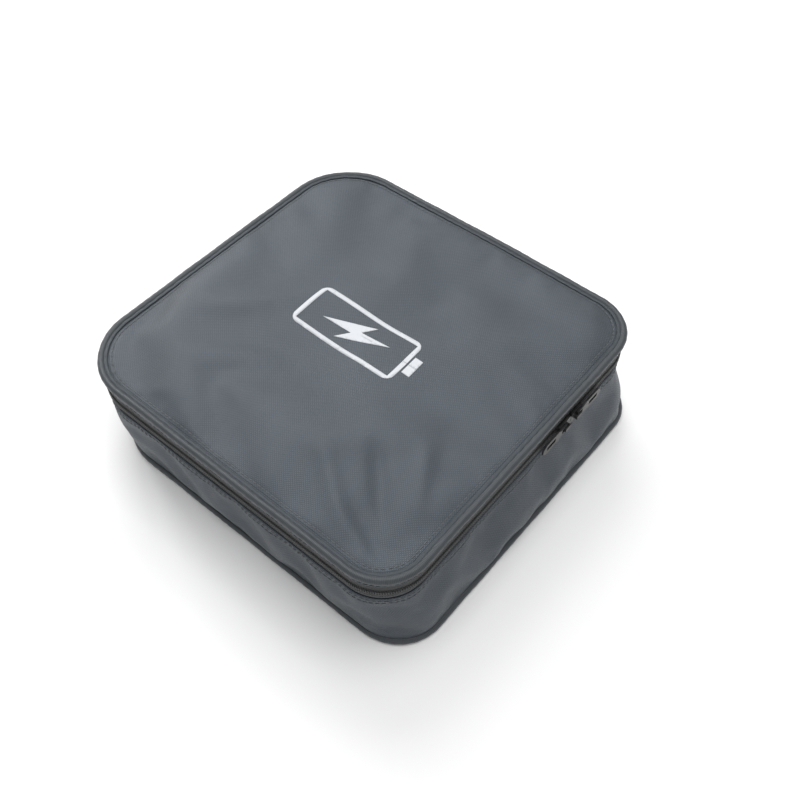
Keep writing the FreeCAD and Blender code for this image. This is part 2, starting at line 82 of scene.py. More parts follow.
# Places and sizes of the soft surfaces.
CORNERS = (30 * MM, 31 * MM, 45 * MM, 42 * MM)   # front right, back right, back left, front left
PER_SIDE = 150                                   # stations along each of the four sides
BACK_STATION = PER_SIDE + PER_SIDE // 2          # the station in the middle of the back
SEAM_INSET = 4.3 * MM                            # the seam between the border and the top
STITCH_INSET = 6.6 * MM
RIM_LEVEL = PIPING_TOP - 1.3 * MM
PILLOW, CROWN = 2.0 * MM, 2.2 * MM               # how far the top swells and rises
FOOT_LIFT = 1.9 * MM                             # how far the bottom is drawn up at its edge
CLOTH_CELL = 4 * MM                              # the simulated cloth's grid
WALL_STEP, WALL_ROWS = 3, 13                     # its stations and heights in the wall
WALL_TOP = HEM_BASE - 2.5 * MM
LINING_THICKNESS = 0.6 * MM
WALL_THICKNESS = 0.8 * MM


# ---- numbers

def smooth(x):
    """A smooth step from 0 to 1."""
    x = np.clip(x, 0, 1)
    return x * x * (3 - 2 * x)


def ripples(x, y, seed, shortest, longest, count=7):
    """A soft, fixed, uneven surface about 1 high, made of sine waves in all directions."""
    draw = np.random.default_rng(seed)
    total = np.zeros(np.broadcast(x, y).shape)
    for _ in range(count):
        turn = draw.uniform(0, TAU)
        length = draw.uniform(shortest, longest)
        phase = draw.uniform(0, TAU)
        total += np.sin(TAU * (x * math.cos(turn) + y * math.sin(turn)) / length + phase)
    return total / math.sqrt(count)


def line_lengths(points):
    """The length along a line up to each of its points."""
    return np.concatenate([[0], np.cumsum(np.linalg.norm(np.diff(points, axis=0), axis=1))])


def girth(profile):
    """The length round a closed profile up to each of its points and back to the first."""
    return line_lengths(np.vstack([profile, profile[:1]]))


def read_at(at, lengths, values):
    """Rows of values read at lengths along a line."""
    return np.stack([np.interp(at, lengths, column) for column in values.T], 1)


def unit(vectors):
    return vectors / np.linalg.norm(vectors, axis=-1, keepdims=True)


def lifted(points, z):
    """Flat points with a height added."""
    return np.column_stack([points, np.broadcast_to(z, len(points))])


def edge_distance(x, y):
    """How far a point lies inside the shell's outline."""
    front = np.where(x > 0, CORNERS[0], CORNERS[3])
    back = np.where(x > 0, CORNERS[1], CORNERS[2])
    radius = np.where(y > 0, back, front)
    qx = np.abs(x) - (HALF_X - radius)
    qy = np.abs(y) - (HALF_Y - radius)
    outside = np.hypot(np.maximum(qx, 0), np.maximum(qy, 0))
    return radius - (outside + np.minimum(np.maximum(qx, qy), 0))


def perimeter():
    """The shell's outline anticlockwise from the middle of the front right corner.

    Returns points, outward normals and lengths along it.  The last point repeats the first.
    """
    points, normals, lengths = [], [], []
    start = 0.0
    for side in range(4):
        out, along = (HALF_X, HALF_Y) if side % 2 == 0 else (HALF_Y, HALF_X)
        first, last = CORNERS[side], CORNERS[(side + 1) % 4]
        bend = first * math.pi / 4
        straight = 2 * along - first - last
        total = straight + (first + last) * math.pi / 4
        s = np.arange(PER_SIDE) * total / PER_SIDE
        middle = np.clip(s - bend, 0, straight)
        angle = np.where(s < bend, (s - bend) / first, np.maximum(s - bend - straight, 0) / last)
        radius = np.where(s < bend, first, last)
        normal = np.stack([np.cos(angle), np.sin(angle)], 1)
        centre = np.stack([out - radius, middle + first - along], 1)
        turn = side * math.pi / 2
        spin = np.array([[math.cos(turn), math.sin(turn)], [-math.sin(turn), math.cos(turn)]])
        points.append((centre + radius[:, None] * normal) @ spin)
        normals.append(normal @ spin)
        lengths.append(start + s)
        start += total
    points.append(points[0][:1])
    normals.append(normals[0][:1])
    lengths.append([start])
    return [np.concatenate(parts) for parts in (points, normals, lengths)]


OUTLINE, NORMALS, LENGTHS = perimeter()
AROUND = LENGTHS[-1]


def waves(count, phase=0.0):
    """A sine wave that fits a whole number of times round the outline, by station."""
    return np.sin(TAU * LENGTHS[:, None] / (AROUND / count) + phase)


def leaned(x, y, z):
    """Where a point of the soft base goes as the base leans out from under the lid."""
    share = smooth((HEM_BASE - z) / HEM_BASE)
    back = (y / HALF_Y + 1) / 2
    return x + share * (4.8 + (2.6 + 2.2 * back) * x / HALF_X) * MM, y + share * 4.5 * MM


# ---- meshes

def linked(name, mesh):
    """An object in the scene for a mesh."""
    obj = bpy.data.objects.new(name, mesh)
    bpy.context.scene.collection.objects.link(obj)
    return obj


def new_object(name, verts, faces, material, uv):
    """A smooth mesh object; uv holds one pair for each face corner, in metres."""
    mesh = bpy.data.meshes.new(name)
    mesh.from_pydata(verts.tolist(), [], faces)
    layer = mesh.uv_layers.new(name="cloth")
    layer.data.foreach_set("uv", np.asarray(uv, np.float32).ravel())
    mesh.materials.append(material)
    mesh.polygons.foreach_set("use_smooth", [True] * len(mesh.polygons))
    mesh.update()
    return linked(name, mesh)


def placed(obj, body, slot, *nodes):
    """Rides an object on a body and hides the CAD nodes that it stands for; slot is not used."""
    if body:
        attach(obj, body)
    if nodes:
        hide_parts(*nodes)
    return obj


def solidified(obj, thickness):
    """Gives a surface its thickness."""
    modifier = obj.modifiers.new("thickness", "SOLIDIFY")
    modifier.thickness = thickness
    modifier.offset = -1
    modifier.use_even_offset = True
    return obj


def loft(name, material, verts, s, profile, across=None):
    """A tube through rows of profile points, with flat ends unless it closes on itself.

    s holds the length at each station, with one more than there are rows where it closes.
    """
    rows, sides = verts.shape[:2]
    v = girth(profile) if across is None else across
    k, j = np.meshgrid(np.arange(len(s) - 1), np.arange(sides), indexing="ij")
    k2, j2 = (k + 1) % rows, (j + 1) % sides
    faces = np.stack([k * sides + j, k2 * sides + j, k2 * sides + j2, k * sides + j2], -1)
    faces = faces.reshape(-1, 4).tolist()
    uv = np.stack([np.stack([s[k], s[k + 1], s[k + 1], s[k]], -1),
                   np.stack([v[j], v[j], v[j + 1], v[j + 1]], -1)], -1).reshape(-1, 2)
    if len(s) == rows:
        ring = np.arange(sides)
        faces += [ring.tolist(), (ring + (rows - 1) * sides)[::-1].tolist()]
        uv = np.concatenate([uv, profile, profile[::-1]])
    return new_object(name, verts.reshape(-1, 3), faces, material, uv)


def sweep(name, material, out, z, leaning=False):
    """Sweeps a closed profile all the way round the outline.

    out and z hold the profile's points, one row for each station or one row for all.  The
    profile runs up its outer side.
    """
    shape = (len(LENGTHS), np.shape(out)[-1])
    out, z = np.broadcast_to(out, shape), np.broadcast_to(z, shape)
    xy = OUTLINE[:, None, :] + NORMALS[:, None, :] * out[:, :, None]
    if leaning:
        xy = np.stack(leaned(xy[:, :, 0], xy[:, :, 1], z), 2)
    verts = np.concatenate([xy, z[:, :, None]], 2)[:-1]
    return loft(name, material, verts, LENGTHS, np.column_stack([out.mean(0), z.mean(0)]))


def band_profile(line, thickness):
    """A closed profile of even thickness about a centre line, which runs upwards."""
    ahead = unit(np.gradient(line, axis=0))
    side = np.stack([ahead[:, 1], -ahead[:, 0]], 1) * thickness / 2
    low = (line[0] - ahead[0] * thickness / 2)[None]
    high = (line[-1] + ahead[-1] * thickness / 2)[None]
    return np.concatenate([low, line + side, high, (line - side)[::-1]]).T


def profile_line(step, *points):
    """A line about one step apart, smoothed at its corners: outward offsets and heights.

    Each point is an outward offset, a level and a rise above it; all but the level are in mm.
    """
    line = np.array([(out * MM, level + rise * MM) for out, level, rise in points])
    for _ in range(3):
        near = line[:-1] * 0.75 + line[1:] * 0.25
        far = line[:-1] * 0.25 + line[1:] * 0.75
        line = np.concatenate([line[:1], np.stack([near, far], 1).reshape(-1, 2), line[-1:]])
    lengths = line_lengths(line)
    count = max(int(lengths[-1] / (step * MM)), 2)
    return read_at(np.linspace(0, lengths[-1], count + 1), lengths, line)


def panel(name, material, insets, height, flip=False, lean_at=None):
    """A sheet that fills the outline: rings that follow it, then an even grid inside them.

    height gives z from x, y and the distance from the outline.
    """
    n = PER_SIDE
    rings = [OUTLINE[:-1] - NORMALS[:-1] * inset for inset in insets]
    ring = np.concatenate([rings[-1], rings[-1][:1]])
    right, back, left, front = (ring[side * n:(side + 1) * n + 1] for side in range(4))
    back, left = back[::-1], left[::-1]
    u = np.linspace(0, 1, n + 1)[:, None, None]
    v = np.linspace(0, 1, n + 1)[None, :, None]
    grid = ((1 - v) * front[:, None] + v * back[:, None] + (1 - u) * left[None] + u * right[None]
            - (1 - u) * (1 - v) * front[0] - u * (1 - v) * front[-1]
            - (1 - u) * v * back[0] - u * v * back[-1])
    number = np.arange((n + 1) ** 2).reshape(n + 1, n + 1)
    inner = np.concatenate([number[n, :n], number[n:0:-1, n], number[0, n:0:-1], number[:n, 0]])
    xy = [grid.reshape(-1, 2)]
    faces = [grid_faces(n + 1, n + 1)]
    for count, outer_ring in enumerate(rings[-2::-1]):
        outer = number.size + count * 4 * n + np.arange(4 * n)
        faces.append(np.stack([outer, np.roll(outer, -1), np.roll(inner, -1), inner], -1))
        xy.append(outer_ring)
        inner = outer
    xy = np.concatenate(xy)
    faces = np.concatenate(faces)[:, ::-1 if flip else 1]
    uv = xy[faces].reshape(-1, 2)
    z = height(xy[:, 0], xy[:, 1], edge_distance(xy[:, 0], xy[:, 1]))
    if lean_at is not None:
        xy = np.stack(leaned(xy[:, 0], xy[:, 1], lean_at), 1)
    return new_object(name, lifted(xy, z), faces.tolist(), material, uv)


def copies(name, material, template, faces, origins, along, across, up):
    """Repeats a small template at many places; its axes follow along, across and up."""
    count, size = len(origins), len(template)
    frames = np.stack([along, across, up], 1)
    verts = origins[:, None, :] + np.einsum("tc,ncd->ntd", template, frames)
    faces = np.array(faces)
    every = (faces[None] + (np.arange(count) * size)[:, None, None]).reshape(-1, 4)
    uv = np.broadcast_to(template[faces][:, :, :2].reshape(1, -1, 2), (count, faces.size, 2))
    return new_object(name, verts.reshape(-1, 3), every.tolist(), material, uv.reshape(-1, 2))


def bar(rings, sides, ends, flat=1.0):
    """The points and quads of a bar along its first axis.

    A ring holds its place, radius and lift.  ends holds the quads that fill one ring.
    """
    turns = [TAU * side / sides for side in range(sides)]
    points = [(place, math.cos(turn) * radius * flat, math.sin(turn) * radius + lift)
              for place, radius, lift in rings for turn in turns]
    last = len(points) - sides
    faces = []
    for a in range(last):
        b = a + 1 if (a + 1) % sides else a + 1 - sides
        faces.append((a, b, b + sides, a + sides))
    faces += [quad[::-1] for quad in ends]
    return np.array(points), faces + [tuple(last + n for n in quad) for quad in ends]


def capsule(length, width, arch):
    """A rounded and slightly arched bar."""
    rings = []
    for share in np.arange(7) / 6:
        radius = width / 2 * math.sin(math.pi * min(max(share, 0.04), 0.96)) ** 0.35
        rings.append(((share - 0.5) * length, radius, arch * (math.sin(math.pi * share) - 0.6)))
    return bar(rings, 6, ((0, 1, 2, 3), (0, 3, 4, 5)))


def stitches(name, points, normals, body, slot="shell_fabric",
             length=2.7 * MM, gap=0.8 * MM, width=0.55 * MM):
    """A row of stitches along a line, lying on a surface whose normals are given."""
    along = line_lengths(points)
    at = np.arange((length + gap) / 2, along[-1], length + gap)
    up = read_at(at, along, np.broadcast_to(normals, points.shape))
    ahead = unit(read_at(at + length / 3, along, points) - read_at(at - length / 3, along, points))
    across = unit(np.cross(up, ahead))
    row = copies(name, THREAD, *capsule(length, width, 0.2 * MM), read_at(at, along, points),
                 ahead, across, np.cross(ahead, across))
    return placed(row, body, slot)


# ---- cloth simulation

SIMULATED_FRAMES = 24


def simulate(points, faces, held, slack, least, most, bending):
    """Lets a cloth that is cut a little too large settle, and returns where its points go.

    held marks the sewn points.  slack, from 0 to 1, goes from the least to the most extra cloth.
    """
    mesh = bpy.data.meshes.new("settling")
    mesh.from_pydata(points.tolist(), [], faces.tolist())
    cloth = linked("settling", mesh)
    cloth.vertex_groups.new(name="sewn").add(np.where(held)[0].tolist(), 1.0, "REPLACE")
    extra = cloth.vertex_groups.new(name="extra")
    for index, weight in enumerate(np.clip(slack, 0, 1)):
        extra.add([index], float(weight), "REPLACE")
    modifier = cloth.modifiers.new("cloth", "CLOTH")
    for setting, value in dict(
            vertex_group_mass="sewn", quality=6, mass=0.3, air_damping=2, tension_stiffness=25,
            compression_stiffness=20, shear_stiffness=8, bending_stiffness=bending,
            use_pressure=True, uniform_pressure_force=4.0, pressure_factor=0,
            vertex_group_shrink="extra", shrink_min=-least, shrink_max=-most).items():
        setattr(modifier.settings, setting, value)
    modifier.settings.effector_weights.gravity = 0
    modifier.collision_settings.use_collision = False
    modifier.point_cache.frame_end = SIMULATED_FRAMES
    for frame_number in range(1, SIMULATED_FRAMES + 1):
        bpy.context.scene.frame_set(frame_number)
    settled = cloth.evaluated_get(bpy.context.evaluated_depsgraph_get()).data
    result = np.empty(len(points) * 3, np.float32)
    settled.vertices.foreach_get("co", result)
    bpy.data.objects.remove(cloth)
    bpy.data.meshes.remove(mesh)
    bpy.context.scene.frame_set(1)
    return result.reshape(-1, 3).astype(float)


def grid_faces(rows, columns, closed=False):
    """Quads between the points of a grid; closed joins its last row to its first."""
    number = np.arange(rows * columns).reshape(rows, columns)
    if closed:
        number = np.concatenate([number, number[:1]])
    return np.stack([number[:-1, :-1], number[1:, :-1], number[1:, 1:], number[:-1, 1:]],
                    -1).reshape(-1, 4)


def sampled(field, row, column, closed=False):
    """Reads a grid of values smoothly, with cubic B-splines, at rows and columns."""
    row, column = np.broadcast_arrays(row, column)
    whole_row, whole_column = np.floor(row).astype(int), np.floor(column).astype(int)

    def weights(f):
        return ((1 - f) ** 3 / 6, (3 * f ** 3 - 6 * f ** 2 + 4) / 6,
                (-3 * f ** 3 + 3 * f ** 2 + 3 * f + 1) / 6, f ** 3 / 6)

    total = np.zeros(row.shape)
    for a, weight_a in enumerate(weights(row - whole_row)):
        at_row = whole_row + a - 1
        at_row = at_row % field.shape[0] if closed else np.clip(at_row, 0, field.shape[0] - 1)
        for b, weight_b in enumerate(weights(column - whole_column)):
            at_column = np.clip(whole_column + b - 1, 0, field.shape[1] - 1)
            total += weight_a * weight_b * field[at_row, at_column]
    return total


# ---- materials

class Nodes:
    """A material's node tree, with short calls for the nodes used here."""

    def __init__(self, name):
        self.material = bpy.data.materials.new(name)
        self.material.use_nodes = True
        self.tree = self.material.node_tree
        self.shader = self.tree.nodes["Principled BSDF"]

    def feed(self, node, key, value):
        """Links a socket, or sets its value; key is its name or number."""
        if isinstance(value, bpy.types.NodeSocket):
            self.tree.links.new(value, node.inputs[key])
        else:
            node.inputs[key].default_value = value

    def node(self, kind, **inputs):
        node = self.tree.nodes.new(kind)
        for key, value in inputs.items():
            self.feed(node, key.replace("_", " "), value)
        return node

    def math(self, operation, *values):
        node = self.node("ShaderNodeMath")
        node.operation = operation
        for index, value in enumerate(values):
            self.feed(node, index, value)
        return node.outputs[0]

    def total(self, *terms, start=0.0):
        """A sum of values, each times its factor."""
        for value, factor in terms:
            start = self.math("MULTIPLY_ADD", value, factor, start)
        return start

    def wave(self, *terms):
        """The sine of a sum of values, each times its factor."""
        return self.math("SINE", self.total(*terms))

    def cloth(self):
        """The place on the cloth, and its two lengths in metres."""
        node = self.node("ShaderNodeUVMap")
        node.uv_map = "cloth"
        split = self.node("ShaderNodeSeparateXYZ", Vector=node.outputs[0])
        return node.outputs[0], split.outputs[0], split.outputs[1]

    def noise(self, vector, scale, detail=3.0):
        node = self.node("ShaderNodeTexNoise", Vector=vector, Scale=scale, Detail=detail,
                         Roughness=0.55)
        return node.outputs["Fac"]

    def ramp(self, value, start, end, low=0.0, high=1.0):
        """Maps a value from start..end to low..high, held at both ends."""
        return self.node("ShaderNodeMapRange", Value=value, From_Min=start, From_Max=end,
                         To_Min=low, To_Max=high).outputs[0]

    def mix(self, share, first, second):
        node = self.node("ShaderNodeMix")
        node.data_type = "RGBA"
        for index, value in ((0, share), (6, first), (7, second)):
            self.feed(node, index, value)
        return node.outputs[2]

    def bump(self, height, distance, strength=1.0, **normal):
        return self.node("ShaderNodeBump", Height=height, Distance=distance, Strength=strength,
                         **normal).outputs[0]

    def finish(self, **inputs):
        for key, value in inputs.items():
            self.feed(self.shader, key.replace("_", " "), value)
        return self.material


def grey(value, blue=1.0):
    """A near grey, with its blue raised."""
    return (value * (2 - blue), value, value * blue, 1)


def weave(nodes, pitch, stretch=1.0):
    """A plain weave: its height, and 1 where the warp lies on top, the mask for a painted sheen on
    the warp cells.
    """
    _, u, v = nodes.cloth()
    a = nodes.wave((u, math.pi / pitch))
    b = nodes.wave((v, math.pi / (pitch * stretch)))
    warp_sheen_mask = nodes.math("GREATER_THAN", nodes.math("MULTIPLY", a, b), 0.0)
    threads = [nodes.math("POWER", nodes.math("ABSOLUTE", thread), 0.45) for thread in (a, b)]
    return nodes.math("MULTIPLY", *threads), warp_sheen_mask


def woven(name, pitch, dark, light, rough, sheen=0.25, depth=0.12 * MM, cloudy=0.10,
          stretch=1.0, coat=0.0, metallic=0.0, specular=0.5, tint=(1, 1, 1, 1)):
    """A woven cloth: thread relief, uneven colour, fibres and slight wear, with painted shade in
    the gaps between threads and a painted sheen on the warp cells.
    """
    nodes = Nodes(name)
    place, _, _ = nodes.cloth()
    height, warp_sheen_mask = weave(nodes, pitch, stretch)
    cloud = nodes.noise(place, 22.0)
    slub = nodes.noise(place, 900.0, 2.0)
    # Painted light in the colour: the thread relief lightens the crowns and darkens the gaps
    # between threads (painted shade), and the warp cells are painted lighter (painted sheen);
    # cloud and slub are the cloth's own uneven colour.
    tone = nodes.total((height, 0.4), (warp_sheen_mask, 0.32), (cloud, cloudy * 3), (slub, 0.25))
    relief = nodes.total((height, 1.0), (slub, 0.35))
    soft = nodes.bump(nodes.noise(place, 60.0), 0.5 * MM, 0.35)
    return nodes.finish(
        Base_Color=nodes.mix(nodes.ramp(tone, 0.25, 1.15), dark, light),
        Roughness=nodes.total((cloud, 0.12), start=rough - 0.06),
        Normal=nodes.bump(relief, depth, 0.8, Normal=soft),
        Sheen_Weight=sheen, Sheen_Roughness=0.45, Coat_Weight=coat, Coat_Roughness=0.35,
        Metallic=metallic, Specular_IOR_Level=specular, Specular_Tint=tint)


def ribbed(name, pitch, dark, light, along_u=True, rough=0.7, sheen=0.2):
    """A narrow tape with fine ribs across or along it, its colour painted darker in the grooves
    between the ribs as painted shade.
    """
    nodes = Nodes(name)
    place, u, v = nodes.cloth()
    first, second = (u, v) if along_u else (v, u)
    rib = nodes.math("ABSOLUTE", nodes.wave((first, math.pi / pitch)))
    cross = nodes.math("ABSOLUTE", nodes.wave((second, math.pi / (pitch * 1.6)),
                                              (first, math.pi / pitch)))
    height = nodes.total((rib, 1.0), (cross, 0.35))
    cloud = nodes.noise(place, 45.0)
    # Painted shade: the rib relief lightens the ribs and darkens the grooves between them; the
    # cloud is the tape's own uneven colour.
    tone = nodes.total((height, 0.6), (cloud, 0.5))
    return nodes.finish(
        Base_Color=nodes.mix(nodes.ramp(tone, 0.2, 1.2), dark, light),
        Roughness=nodes.total((cloud, 0.15), start=rough - 0.08),
        Normal=nodes.bump(height, 0.12 * MM, 0.8), Sheen_Weight=sheen, Sheen_Roughness=0.4)


def twisted(name, dark, light):
    """Sewing thread, its colour painted darker in the grooves of its twist as painted shade."""
    nodes = Nodes(name)
    _, u, v = nodes.cloth()
    turns = TAU / (0.5 * MM)
    twist = nodes.wave((u, turns), (v, turns))
    # Painted shade: the twist's ridges are lighter and its grooves darker.
    return nodes.finish(
        Base_Color=nodes.mix(nodes.ramp(twist, -1, 1), dark, light), Roughness=0.5,
        Sheen_Weight=0.2, Normal=nodes.bump(twist, 0.05 * MM, 0.7))


def hard(name, dark, light, rough, metallic, coat):
    """Moulded nylon or painted metal: fine grain, uneven gloss and rubbed patches."""
    nodes = Nodes(name)
    place = nodes.node("ShaderNodeTexCoord").outputs["Object"]
    fine = nodes.noise(place, 400.0)
    patch = nodes.noise(place, 50.0)
    return nodes.finish(
        Base_Color=nodes.mix(nodes.ramp(patch, 0.35, 0.75), dark, light),
        Roughness=nodes.total((patch, 0.22), start=rough - 0.1), Metallic=metallic,
        Normal=nodes.bump(fine, 0.02 * MM, 0.5), Coat_Weight=coat, Coat_Roughness=0.2)


def printed(name, pitch):
    """White ink on cloth: the weave shows through and a little ink is missing."""
    nodes = Nodes(name)
    place, _, _ = nodes.cloth()
    height, _ = weave(nodes, pitch)
    worn = nodes.math("MULTIPLY", nodes.noise(place, 500.0), nodes.noise(place, 70.0))
    bare = nodes.ramp(nodes.total((worn, 1.0), (height, 0.18)), 0.16, 0.26, 1, 0)
    return nodes.finish(
        Base_Color=nodes.mix(bare, (0.555, 0.575, 0.605, 1), (0.30, 0.315, 0.345, 1)),
        Roughness=0.55, Normal=nodes.bump(height, 0.08 * MM, 0.6))


WEAVE_PITCH = 0.85 * MM
SHELL = woven("shell_weave", WEAVE_PITCH, grey(0.003, 1.2), grey(0.110, 1.18), rough=0.5,
              sheen=0.05, coat=0.03, depth=0.2 * MM, specular=0.6, tint=(0.84, 0.91, 1, 1))
BORDER = woven("border_weave", WEAVE_PITCH * 0.7, grey(0.012, 1.2), grey(0.052, 1.2), rough=0.52,
               sheen=0.05, specular=0.6, tint=(0.86, 0.93, 1, 1))
PIPE = ribbed("piping_tape", 0.9 * MM, grey(0.014, 1.18), grey(0.062, 1.16), rough=0.48,
              sheen=0.15)
LINING = woven("lining_glass_cloth", 1.3 * MM, grey(0.05, 1.03), grey(0.40, 1.02), rough=0.46,
               sheen=0.1, depth=0.2 * MM, cloudy=0.06, coat=0.1, metallic=0.3)
BINDING = ribbed("binding_tape", 1.0 * MM, grey(0.016, 1.05), grey(0.045, 1.05))
ZIP_TAPE = ribbed("zip_tape", 0.55 * MM, grey(0.014, 1.06), grey(0.046, 1.06), along_u=False)
WEBBING = woven("webbing", 1.5 * MM, grey(0.016, 1.06), grey(0.062, 1.06), rough=0.6,
                depth=0.35 * MM, stretch=0.6)
THREAD = twisted("sewing_thread", grey(0.05, 1.08), grey(0.13, 1.08))
NYLON = hard("nylon_coil", grey(0.016), grey(0.05), 0.36, metallic=0.0, coat=0.2)
METAL = hard("black_metal", grey(0.010), grey(0.032), 0.42, metallic=0.15, coat=0.15)
INK = printed("white_print", WEAVE_PITCH)


# ---- shapes of the soft parts

# Long shallow folds in the top, in mm: start and end on the lid, half width and height.
FOLDS = [
    ((-104, -60), (-30, 24), 8, 1.2),
    ((-98, -24), (-30, 60), 11, -1.0),
    ((-88, -96), (-18, -38), 9, 1.0),
    ((20, -96), (86, -30), 9, 0.9),
    ((108, -108), (52, -46), 5, -2.2),
    ((114, -92), (80, -30), 5, 1.9),
    ((90, -116), (30, -72), 5, 1.8),
    ((112, -112), (72, -92), 4, -1.8),
    ((60, 40), (112, 84), 10, 0.8),
    ((112, 10), (70, 34), 8, -0.9),
]
# Where the lid has spare cloth: place and reach in mm, and amount.
SLACK = [((104, -104), 48, 1.3), ((-106, -92), 50, 0.75), ((70, -112), 40, 0.6),
         ((112, 60), 40, 0.35), ((-60, -60), 60, 0.35)]


def rim_wave(x, y):
    """How far the soft rim of the lid rises or dips; its near corner is pressed down."""
    pressed = (x / MM - 116) ** 2 / 26 ** 2 + (y / MM + 114) ** 2 / 30 ** 2
    return 0.55 * MM * ripples(x, y, 11, 150 * MM, 320 * MM, 5) - 1.9 * MM * np.exp(-pressed)


def folds(x, y):
    """The sum of all the folds at a place on the lid."""
    total = np.zeros_like(x)
    for start, end, half_width, height in FOLDS:
        a, b = np.array(start) * MM, np.array(end) * MM
        d = b - a
        share = ((x - a[0]) * d[0] + (y - a[1]) * d[1]) / (d @ d)
        off = np.abs((x - a[0]) * d[1] - (y - a[1]) * d[0]) / np.linalg.norm(d)
        total += (height * MM * np.exp(-(off / (half_width * MM)) ** 2)
                  * smooth(share * 3) * smooth((1 - share) * 3))
    return total


def settle_lid():
    """How far the lid's cloth rises as it settles, on a grid over the lid."""
    across, along = [np.linspace(-half, half, int(2 * half / CLOTH_CELL) + 1)
                     for half in (HALF_X, HALF_Y)]
    x, y = np.meshgrid(across, along, indexing="ij")
    d = edge_distance(x, y)
    start = (0.4 * MM * ripples(x, y, 3, 55 * MM, 130 * MM) + folds(x, y)) * smooth(
        (d - SEAM_INSET) / (14 * MM))
    slack = sum(amount * np.exp(-((x / MM - place[0]) ** 2 + (y / MM - place[1]) ** 2)
                                / reach ** 2) for place, reach, amount in SLACK)
    points = np.stack([x, y, start], 2).reshape(-1, 3)
    held = d < SEAM_INSET + 1 * MM
    settled = simulate(points, grid_faces(*x.shape), held.ravel(), slack.ravel(), 0.003, 0.03, 6.0)
    calm = 1.5 - 1.1 * np.exp(-(x / (62 * MM)) ** 4 - (y / (34 * MM)) ** 4)   # flat at the print
    return np.clip(settled[:, 2].reshape(x.shape), -3.5 * MM, 4.5 * MM) * calm


LID_FIELD = settle_lid()


def pucker(x, y, d):
    """Small gathers that the seam makes in the cloth beside it."""
    around = np.arctan2(y / HALF_Y, x / HALF_X) * 155 * MM
    wave = np.sin(TAU * around / (9 * MM) + 2 * ripples(x, y, 5, 40 * MM, 90 * MM))
    return 0.14 * MM * wave * np.exp(-np.abs(d - SEAM_INSET) / (5 * MM))


def dome(x, y):
    """The lid's slight crown."""
    return CROWN * (1 - (x / HALF_X) ** 2) * (1 - (y / HALF_Y) ** 2)


def top_height(x, y, d):
    """The lid's outer surface."""
    inside = np.maximum(d - SEAM_INSET, 0)
    pillow = PILLOW * (1 - np.exp(-(inside / (10 * MM)) ** 1.1))
    row = (x + HALF_X) / (2 * HALF_X) * (LID_FIELD.shape[0] - 1)
    column = (y + HALF_Y) / (2 * HALF_Y) * (LID_FIELD.shape[1] - 1)
    groove = -0.5 * MM * np.exp(-((d - SEAM_INSET) / (0.8 * MM)) ** 2)
    groove -= 0.22 * MM * np.exp(-((d - STITCH_INSET) / (0.9 * MM)) ** 2)
    return (RIM_LEVEL + rim_wave(x, y) + pillow + dome(x, y) + sampled(LID_FIELD, row, column)
            + groove + pucker(x, y, d))


def settle_wall():
    """How far the wall's cloth moves outwards as it settles, by station and height."""
    stations = np.arange(0, 4 * PER_SIDE, WALL_STEP)
    outline, normals = OUTLINE[stations][:, None], NORMALS[stations][:, None]
    swell = np.array([7.0, 2.2, 2.6, 2.4])[stations // PER_SIDE] * MM   # right, back, left, front
    middle = np.sin(math.pi * (stations % PER_SIDE) / PER_SIDE)[:, None]
    z = np.linspace(FLOOR_TOP, WALL_TOP, WALL_ROWS)
    uneven = ripples(outline[:, :, 0] + z, outline[:, :, 1] - z, 21, 45 * MM, 120 * MM, 9)
    start = (0.6 * swell[:, None] * middle ** 1.2 + 0.5 * MM * uneven) * np.sin(
        math.pi * np.linspace(0, 1, WALL_ROWS) ** 0.75)
    heights = np.broadcast_to(z, start.shape)[:, :, None]
    points = np.concatenate([outline + normals * start[:, :, None], heights], 2)
    held = np.zeros(start.shape, bool)
    held[:, [0, -1]] = True
    slack = np.broadcast_to((1 - middle) ** 2, start.shape)
    settled = simulate(points.reshape(-1, 3), grid_faces(*start.shape, closed=True),
                       held.ravel(), slack.ravel(), 0.018, 0.05, 5.0)
    moved = settled.reshape(points.shape)[:, :, :2] - outline
    return np.clip((moved * normals).sum(2), -2.0 * MM, 9.0 * MM)


WALL_FIELD = settle_wall()


def wall_out(z):
    """How far the base's wall stands out at heights z, one row for each station."""
    row = np.arange(len(LENGTHS))[:, None] / WALL_STEP
    column = (np.asarray(z) - FLOOR_TOP) / (WALL_TOP - FLOOR_TOP) * (WALL_ROWS - 1)
    return sampled(WALL_FIELD, row, np.clip(column, 0, WALL_ROWS - 1), closed=True)


# ---- lid

RIM = rim_wave(*OUTLINE.T)[:, None]
INNER_INSETS = np.array([4.6, 6, 8, 11, 15, 20]) * MM


def build_top():
    """The crowned top, with its rings close together at the seam and the stitches."""
    insets = np.concatenate([[2.0, 2.8], np.arange(3.3, 8.2, 0.45), [9, 10.2, 11.6, 13]]) * MM
    cover = solidified(panel("top_cover", SHELL, insets, top_height), 1.2 * MM)
    placed(cover, "lid", "shell_fabric", "top_panel", "top_padding")


def build_border():
    """The narrow edge of the piping's own tape, and the row of stitches inside the seam."""
    at = np.linspace(1.6, 4.2, 8) * MM
    x = OUTLINE[:, None, 0] - NORMALS[:, None, 0] * at
    y = OUTLINE[:, None, 1] - NORMALS[:, None, 1] * at
    share = (at - at[0]) / (at[-1] - at[0])
    top = RIM_LEVEL + rim_wave(x, y) + dome(x, y) + pucker(x, y, at) * 1.3
    top = top + (0.1 + 0.45 * np.sin(math.pi * np.clip(share, 0.02, 1)) ** 0.6) * MM
    low = top - (0.4 + 0.4 * np.sin(math.pi * share)) * MM
    border = sweep("top_border_tape", BORDER, np.concatenate([-at[::-1], -at]),
                   np.concatenate([low[:, ::-1], top], 1))
    placed(border, "lid", "binding", "top_border")
    row = (OUTLINE - NORMALS * STITCH_INSET)[::-1]
    height = top_height(row[:, 0], row[:, 1], STITCH_INSET) + 0.16 * MM
    stitches("border_stitches", lifted(row, height), (0.0, 0.0, 1.0), "lid")


